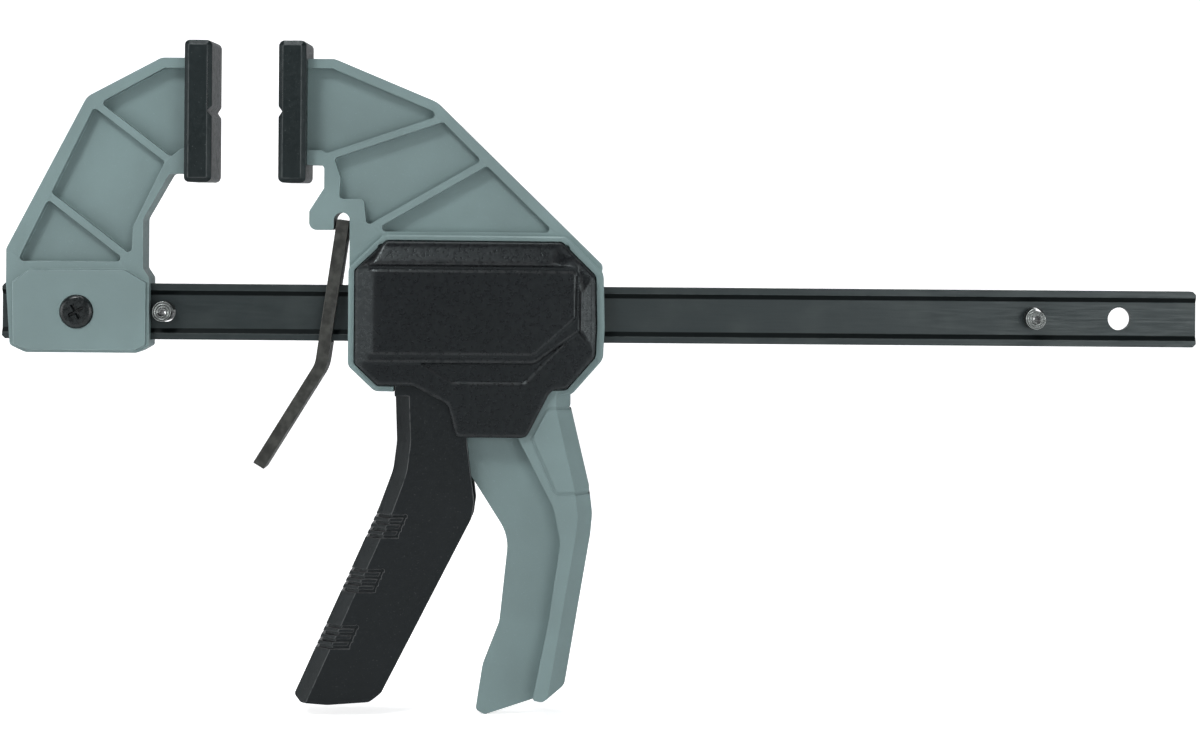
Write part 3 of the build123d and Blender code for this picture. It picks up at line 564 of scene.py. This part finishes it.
def soft_max(a, b):
    """Higher of two heights, blended where they meet."""
    return (a + b + ((a - b) ** 2 + ROOT_BLEND**2) ** 0.5) / 2


def step_in(distance, height):
    """Height of a step that starts at an outline and has a sloped side."""
    return min(max(distance * STEP_SLOPE, 0.0), height)


def loose_centres(node):
    """Middle of each separate solid of a node, as seen along Y."""
    mesh = bmesh.new()
    mesh.from_mesh(frame["nodes"][node].data)
    bmesh.ops.remove_doubles(mesh, verts=mesh.verts, dist=0.005 * MM)
    left, centres = set(mesh.verts), []
    while left:
        island, queue = set(), [next(iter(left))]
        while queue:
            vert = queue.pop()
            if vert not in island:
                island.add(vert)
                queue += [edge.other_vert(vert) for edge in vert.link_edges]
        left -= island
        xs, zs = [v.co.x for v in island], [v.co.z for v in island]
        centres.append(Vector(((min(xs) + max(xs)) / 2, (min(zs) + max(zs)) / 2)))
    mesh.free()
    return centres


class CoverForm:
    """Outer face of a side cover: a height over the X-Z plane, fitted to the built cover's box.

    Outlines are lists of corners in X and Z with a corner radius, with heights taken from the bar's
    edges. The lower area, the raised band and the panel on it step up towards the front, and the
    brow rises over them to the ridge. wells are the centres and radii of the screws' wells.
    """

    step = 0.55 * MM  # rise from the lower area to the band, and from the band to the panel
    brow_rise = 1.1 * MM  # from the panel to the ridge
    sink = 0.5 * MM  # depth of the hollow in the lower area
    lip = 0.1 * MM  # height of the outermost edge over the seat
    groove = 0.4 * MM  # width of the groove inside that edge
    rounding = 3 * MM  # width of the part that falls towards the edge

    def __init__(self, node, wells=()):
        low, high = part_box(node)
        bar_low, bar_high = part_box("bar")
        self.top, self.bottom = bar_high.z, bar_low.z
        self.left, self.right = low.x, high.x
        self.floor, self.ceiling = low.z, high.z
        self.ridge = max(abs(low.y), abs(high.y))
        self.seat = min(abs(low.y), abs(high.y))
        self.band = self.ridge - self.brow_rise - self.step
        self.low = self.band - self.step
        self.wells = wells
        up, down = self.above, self.below
        left, right = self.left, self.right
        self.side = rounded(
            [
                (left, up(5.0), 1.5 * MM),
                (left + 9.9 * MM, up(14.35), 1.5 * MM),
                (right - 11.1 * MM, up(14.15), 1.5 * MM),
                (right - 0.4 * MM, up(3.6), 2.5 * MM),
                (right, down(5.0) + 10 * MM, 5 * MM),
                (right - 0.4 * MM, down(4.2), 2.5 * MM),
                (right - 9.5 * MM, down(14.6), 2.5 * MM),
                (right - 13.9 * MM, down(14.5), 3 * MM),
                (right - 21.6 * MM, down(29.7), 2.5 * MM),
                (left + 32.0 * MM, down(29.7), 2 * MM),
                (left + 29.3 * MM, down(19.4), 3 * MM),
                (left + 18.4 * MM, down(13.7), 1.5 * MM),
                (left + 7.4 * MM, down(13.65), 1.5 * MM),
                (left, down(6.7), 1.5 * MM),
            ]
        )
        self.hollow = rounded(
            [
                (left + 16.8 * MM, down(4.0), 0),
                (left + 30.7 * MM, down(12.5), 1.5 * MM),
                (left + 53.4 * MM, down(12.5), 1.5 * MM),
                (left + 71.5 * MM, -2.6 * MM, 0),
            ]
        )
        self.band_edge = rounded(
            [
                (left - 3 * MM, down(6.4), 0),
                (left + 56.5 * MM, down(6.4), 3 * MM),
                (left + 70.4 * MM, -4.8 * MM, 1.5 * MM),
                (left + 70.4 * MM, up(9.0), 0),
                (left - 3 * MM, up(9.0), 0),
            ]
        )
        self.panel_edge = rounded(
            [
                (left - 3 * MM, down(4.0), 0),
                (left + 56.0 * MM, down(4.0), 3 * MM),
                (left + 69.2 * MM, -0.9 * MM, 1.5 * MM),
                (left + 69.2 * MM, up(5.1), 1.2 * MM),
                (left - 3 * MM, up(5.1), 0),
            ]
        )
        self.recess = rounded(
            [
                (left - 3 * MM, up(6.3), 0),
                (right - 5.7 * MM, up(6.3), 2.2 * MM),
                (right - 5.7 * MM, -5.0 * MM, 1.5 * MM),
                (right + 2 * MM, down(5.2), 0),
                (right + 2 * MM, down(40), 0),
                (left - 3 * MM, down(40), 0),
            ]
        )

    def above(self, height):
        return self.top + height * MM

    def below(self, depth):
        return self.bottom - depth * MM

    def brow(self, x, z):
        """Slopes that rise from the rim to the ridge above and behind the panel.

        Each slope is a share of the rise, 0 at its foot and 1 at the ridge.
        """
        from_right = self.right - x
        top = (self.above(13.3) - z) / (5.75 * MM)
        right = (from_right - 1.3 * MM) / (3.3 * MM)
        across, down = from_right - 11.4 * MM, self.above(13.2) - z
        corner = (0.704 * across + 0.711 * down) / (5.9 * MM)
        rise = self.ridge - self.low + 0.3 * MM
        level = self.low - 0.3 * MM + rise * min(top, right, corner)
        left_end = self.low - 1.0 * MM + 0.8 * (x - self.left)
        return soft_min(soft_min(level, self.ridge - 0.05 * MM), left_end)

    def height(self, x, z, rim):
        """Distance of the face from the middle plane; rim is the distance in from the outline."""
        point = Vector((x, z))
        band = step_in(nearest(point, self.band_edge)[0], self.step)
        sunk = step_in(nearest(point, self.hollow)[0], self.sink)
        level = self.low + band - sunk * (1 - band / self.step)
        level += step_in(nearest(point, self.panel_edge)[0], self.step)
        level = soft_min(level, self.low - 1.0 * MM + 0.33 * (x - self.left))
        wall = self.band + max(-nearest(point, self.recess)[0], -1.0 * MM) * 2.2
        level = soft_max(level, soft_min(self.brow(x, z), wall))
        if rim < self.lip:
            return self.seat + self.lip
        if rim < self.rounding:
            return soft_min(level, self.low - 0.65 * MM + rim * 1.1)
        return level

    def rim(self, point):
        """Distance in from the outline or a screw's well, and the nearest place on it."""
        distance, place = nearest(point, self.side)
        for centre, radius in self.wells:
            gap = (point - centre).length - radius
            if gap < distance:
                distance, place = gap, centre + (point - centre).normalized() * radius
        return distance, place

    def inner(self, point, level):
        """Level of the inside: a thin wall, with a skirt that stands in the housing."""
        distance = nearest(point, self.side)[0]
        if distance < SKIRT and point.y > self.below(12.0):
            return self.seat + SKIRT_GAP
        return level - SHELL


def moulded_cover(node, form, side, material, pitch):
    """Closed thin-walled cover whose outer face follows a form; side is -1 at the front."""
    snap = 0.2 * pitch  # points this close to the outline, or outside it, move onto it
    columns = int((form.right - form.left) / pitch) + 3
    rows = int((form.ceiling - form.floor) / pitch) + 3
    spots, cells = {}, []
    for i in range(columns):
        for j in range(rows):
            point = Vector((form.left + (i - 1) * pitch, form.floor + (j - 1) * pitch))
            spots[i, j] = (point, *form.rim(point))
    for i in range(columns - 1):
        for j in range(rows - 1):
            corners = [(i, j), (i + 1, j), (i + 1, j + 1), (i, j + 1)]
            if any(spots[c][1] > snap for c in corners):
                cells.append(corners)
    mesh = bmesh.new()
    edge_mark = mesh.faces.layers.float.new("edge")
    outside, inside, level_at = {}, {}, {}
    for key in {corner for cell in cells for corner in cell}:
        point, distance, place = spots[key]
        if distance < snap:
            point, distance = place, 0.0
        elif distance < 1.1 * pitch:
            point, distance = place + (point - place) / distance * form.groove, form.groove
        level = form.height(point.x, point.y, distance)
        level_at[key] = level
        outside[key] = mesh.verts.new((point.x, side * level, point.y))
        inside[key] = mesh.verts.new((point.x, side * form.inner(point, level), point.y))
    sides = {}
    for cell in cells:
        for a, b in zip(cell, cell[1:] + cell[:1]):
            sides[a, b] = sides.get((a, b), 0) + 1
        face = mesh.faces.new([outside[c] for c in cell])
        i, j = cell[0]
        # Edges that stand out get the painted highlight, stronger the further they stand out.
        around = [level_at.get(k) for k in ((i - 2, j), (i + 2, j), (i, j - 2), (i, j + 2))]
        if None not in around:
            bend = level_at[i, j] - sum(around) / 4
            face[edge_mark] = min(max(bend / FULL_HIGHLIGHT_BEND, 0.0), 1.0)
        mesh.faces.new([inside[c] for c in reversed(cell)])
    for a, b in sides:
        if (b, a) not in sides:
            mesh.faces.new([outside[b], outside[a], inside[a], inside[b]])
    bmesh.ops.recalc_face_normals(mesh, faces=mesh.faces)
    data = bpy.data.meshes.new(f"{node}_finished")
    mesh.to_mesh(data)
    mesh.free()
    data.shade_smooth()
    data.set_sharp_from_angle(angle=COVER_CREASE)
    piece = placed(f"{node}_finished", data, material)
    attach(piece, frame["nodes"][node]["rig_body"])
    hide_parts(node)


def corner_gussets(form, material):
    """Small webs in the upper corners of the housing's hollow, level with the covers' seats."""
    left, right, top = form.left + 7.1 * MM, form.right - 8.1 * MM, form.above(13.55)
    webs = [
        [(left, top), (left, top - 2.7 * MM), (left + 2.9 * MM, top)],
        [(right, top), (right - 3.3 * MM, top), (right, top - 3.1 * MM)],
    ]
    depth = form.seat - GUSSET_GAP - GUSSET_INNER
    mesh = bmesh.new()
    for side in (-1, 1):
        for web in webs:
            face = mesh.faces.new([mesh.verts.new((x, side * GUSSET_INNER, z)) for x, z in web])
            grown = bmesh.ops.extrude_face_region(mesh, geom=[face])["geom"]
            moved = [v for v in grown if isinstance(v, bmesh.types.BMVert)]
            bmesh.ops.translate(mesh, verts=moved, vec=(0, side * depth, 0))
    bmesh.ops.recalc_face_normals(mesh, faces=mesh.faces)
    data = bpy.data.meshes.new("corner_gussets")
    mesh.to_mesh(data)
    mesh.free()
    piece = placed("corner_gussets", data, material)
    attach(piece, frame["nodes"]["moving_jaw"]["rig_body"])


# ---------------------------------------------------------------- operators
class CLAMP_OT_stage(Operator):
    """Pale floor and backdrop, soft lamps and the camera"""

    bl_idname = "clamp.stage"
    bl_label = "Stage"

    def execute(self, context):
        sizes = context.scene.clamp_sizes
        scene = context.scene
        scene.view_settings.view_transform = "Standard"
        floor_z = cad_box[0][2] - FLOOR_GAP
        front, back, bend, height, width = -3.0, 1.0, 0.5, 4.0, 8.0
        sheet = bmesh.new()
        profile = [(front, 0.0), (back, 0.0)]
        profile += [
            (back + bend * sin(a * pi / 24), bend * (1 - cos(a * pi / 24))) for a in range(1, 13)
        ]
        profile.append((back + bend, height))
        line = [sheet.verts.new((-width / 2, y, floor_z + z)) for y, z in profile]
        edges = [sheet.edges.new(pair) for pair in zip(line, line[1:])]
        swept = bmesh.ops.extrude_edge_only(sheet, edges=edges)
        moved = [v for v in swept["geom"] if isinstance(v, bmesh.types.BMVert)]
        bmesh.ops.translate(sheet, verts=moved, vec=(width, 0, 0))
        bmesh.ops.recalc_face_normals(sheet, faces=sheet.faces)
        data = bpy.data.meshes.new("backdrop")
        sheet.to_mesh(data)
        sheet.free()
        data.shade_smooth()
        backdrop = placed("backdrop", data, self.backdrop_material(context))

        for name, values in LAMPS.items():
            self.lamp(name, *values)
        self.world(scene)
        self.camera(scene, sizes)
        return {"FINISHED"}

    def backdrop_material(self, context):
        material, g, shader = new_material("backdrop_paper")
        shade = context.scene.clamp_colours.backdrop
        shader["Base Color"].default_value = (*shade, 1.0)
        shader["Roughness"].default_value = 0.9
        glow = g.add("ShaderNodeEmission", {"Color": (1.0, 1.0, 1.0, 1.0), "Strength": 0.75})
        seen = g.add("ShaderNodeLightPath").outputs["Is Camera Ray"]
        lit = g.add("ShaderNodeMixShader", {0: seen})
        paper = g.tree.nodes["Principled BSDF"].outputs[0]
        both = g.add("ShaderNodeAddShader", {0: paper, 1: glow.outputs[0]}).outputs[0]
        g.tree.links.new(paper, lit.inputs[1])
        g.tree.links.new(both, lit.inputs[2])
        g.tree.links.new(lit.outputs[0], g.tree.nodes["Material Output"].inputs["Surface"])
        return material

    def lamp(self, name, place, target, width, power):
        light = bpy.data.lights.new(name, "AREA")
        light.shape = "SQUARE"
        light.size = width
        light.energy = power
        lamp = bpy.data.objects.new(name, light)
        lamp.location = place
        aim = Vector(target) - Vector(place)
        lamp.rotation_euler = aim.to_track_quat("-Z", "Y").to_euler()
        bpy.context.scene.collection.objects.link(lamp)

    def world(self, scene):
        world = bpy.data.worlds.new("studio")
        scene.world = world
        world.use_nodes = True
        sky = world.node_tree.nodes["Background"]
        sky.inputs["Color"].default_value = (0.93, 0.96, 1.0, 1.0)
        sky.inputs["Strength"].default_value = AMBIENT

    def camera(self, scene, sizes):
        data = bpy.data.cameras.new("camera")
        data.lens = data.sensor_width * sizes.camera_distance / sizes.view_width
        data.shift_y = -0.1396
        data.clip_start = 0.05
        data.clip_end = 20.0
        camera = bpy.data.objects.new("camera", data)
        camera.location = (120.95 * MM, -sizes.camera_distance, 33.0 * MM)
        roll = radians(-0.45)
        camera.rotation_euler = Euler((radians(90), roll, 0.0), "XYZ")
        scene.collection.objects.link(camera)
        scene.camera = camera


class CLAMP_OT_mouldings(Operator):
    """Grey nylon jaws, with the housing and handle"""

    bl_idname = "clamp.mouldings"
    bl_label = "Grey mouldings"

    def execute(self, context):
        tones, sizes = context.scene.clamp_colours, context.scene.clamp_sizes
        nylon = moulded_plastic(
            "grey_nylon", tones.moulding, tones.moulding_dark, grain=2400.0, relief=0.03 * MM,
            gloss=0.5, edge_light=0.6,
        )
        for node in ("fixed_jaw", "moving_jaw"):
            softened(node, sizes.moulding_edge, nylon)
        corner_gussets(CoverForm("front_cover"), nylon)
        return {"FINISHED"}


class CLAMP_OT_covers(Operator):
    """Black side covers"""

    bl_idname = "clamp.covers"
    bl_label = "Covers"

    def execute(self, context):
        tones, sizes = context.scene.clamp_colours, context.scene.clamp_sizes
        black = moulded_plastic(
            "black_cover", tones.cover, toned(tones.cover, 0.8), grain=1900.0, relief=0.07 * MM,
            gloss=0.34, edge_light=0.15, sheen=0.3, speckle=0.35,
        )
        wells = [(centre, SCREW_WELL) for centre in loose_centres("cover_screws")]
        moulded_cover("front_cover", CoverForm("front_cover"), -1, black, sizes.cover_pitch)
        moulded_cover("rear_cover", CoverForm("rear_cover", wells), 1, black, sizes.cover_pitch)
        return {"FINISHED"}


class CLAMP_OT_trigger(Operator):
    """Black trigger with its grip slots"""

    bl_idname = "clamp.trigger"
    bl_label = "Trigger"

    def execute(self, context):
        tones, sizes = context.scene.clamp_colours, context.scene.clamp_sizes
        black = moulded_plastic(
            "black_grip", tones.cover, toned(tones.cover, 0.75), grain=1700.0, relief=0.08 * MM,
            gloss=0.36, edge_light=0.5, sheen=0.3, speckle=0.35,
        )
        softened("trigger", sizes.grip_edge, black)
        return {"FINISHED"}


class CLAMP_OT_pads(Operator):
    """Black soft pads"""

    bl_idname = "clamp.pads"
    bl_label = "Pads"

    def execute(self, context):
        tones, sizes = context.scene.clamp_colours, context.scene.clamp_sizes
        soft = moulded_plastic(
            "black_pad", tones.pad, toned(tones.pad, 0.8), grain=1500.0, relief=0.14 * MM,
            gloss=0.4, edge_light=0.3, sheen=0.32, speckle=0.8,
        )
        for node in ("fixed_jaw_pad", "moving_jaw_pad"):
            softened(node, sizes.pad_edge, soft)
        return {"FINISHED"}


class CLAMP_OT_bar(Operator):
    """Blackened steel bar"""

    bl_idname = "clamp.bar"
    bl_label = "Bar"

    def execute(self, context):
        tones, sizes = context.scene.clamp_colours, context.scene.clamp_sizes
        steel = oxide_steel("bar_oxide", tones.bar, tones.bar_wear_and_highlight, 0.05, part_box("bar")[1].z)
        softened("bar", sizes.steel_edge, steel)
        return {"FINISHED"}


class CLAMP_OT_lever(Operator):
    """Release lever of bent strip"""

    bl_idname = "clamp.lever"
    bl_label = "Release lever"

    def execute(self, context):
        tones, sizes = context.scene.clamp_colours, context.scene.clamp_sizes
        softened("release_lever", sizes.steel_edge, sheared_steel("lever_steel", tones.lever))
        return {"FINISHED"}


class CLAMP_OT_fasteners(Operator):
    """Spring pins, trigger pin, screws and nut"""

    bl_idname = "clamp.fasteners"
    bl_label = "Pins and screws"

    def execute(self, context):
        tones, sizes = context.scene.clamp_colours, context.scene.clamp_sizes
        bright = bright_steel("pin_steel", tones.bright, (1.0, 0.1, 1.0))
        for node in ("jaw_roll_pin", "stop_roll_pin", "trigger_pin"):
            softened(node, sizes.steel_edge, bright)
        black = oiled_steel("screw_steel", toned(tones.bar, 0.5))
        for node in ("fixed_jaw_screw", "fixed_jaw_nut", "cover_screws"):
            softened(node, sizes.steel_edge, black)
        return {"FINISHED"}


class CLAMP_OT_drive(Operator):
    """Drive plates and the two springs"""

    bl_idname = "clamp.drive"
    bl_label = "Drive"

    def execute(self, context):
        tones, sizes = context.scene.clamp_colours, context.scene.clamp_sizes
        plates = bright_steel("plate_steel", tones.bright, (1.0, 1.0, 0.1))
        for node in ("drive_plate_1", "drive_plate_2"):
            softened(node, sizes.steel_edge, plates)
        drawn = bright_steel("spring_wire", tones.bright, (0.2, 1.0, 1.0))
        wire_spring(
            "drive_coil", "drive_spring", DRIVE_COIL, drawn
        )
        wire_spring(
            "brake_coil", "brake_spring", BRAKE_COIL, drawn
        )
        return {"FINISHED"}


class CLAMP_PT_panel(Panel):
    """Lists the operators that finish the clamp"""

    bl_idname = "CLAMP_PT_panel"
    bl_label = "Bar Clamp"
    bl_space_type = "VIEW_3D"
    bl_region_type = "UI"
    bl_category = "Clamp"

    def draw(self, context):
        for group in (context.scene.clamp_sizes, context.scene.clamp_colours):
            for name in group.bl_rna.properties.keys():
                if name not in ("rna_type", "name"):
                    self.layout.prop(group, name)
        for operator in OPERATORS:
            self.layout.operator(operator.bl_idname)


OPERATORS = (
    CLAMP_OT_stage,
    CLAMP_OT_mouldings,
    CLAMP_OT_covers,
    CLAMP_OT_trigger,
    CLAMP_OT_pads,
    CLAMP_OT_bar,
    CLAMP_OT_lever,
    CLAMP_OT_fasteners,
    CLAMP_OT_drive,
)
CLASSES = (ClampSizes, ClampColours, *OPERATORS, CLAMP_PT_panel)


def register():
    for cls in CLASSES:
        bpy.utils.register_class(cls)
    bpy.types.Scene.clamp_sizes = PointerProperty(type=ClampSizes)
    bpy.types.Scene.clamp_colours = PointerProperty(type=ClampColours)


def unregister():
    del bpy.types.Scene.clamp_colours
    del bpy.types.Scene.clamp_sizes
    for cls in reversed(CLASSES):
        bpy.utils.unregister_class(cls)


def main():
    """Register the add-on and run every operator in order."""
    register()
    for operator in OPERATORS:
        area, name = operator.bl_idname.split(".")
        getattr(getattr(bpy.ops, area), name)()


if __name__ == "__main__":
    main()
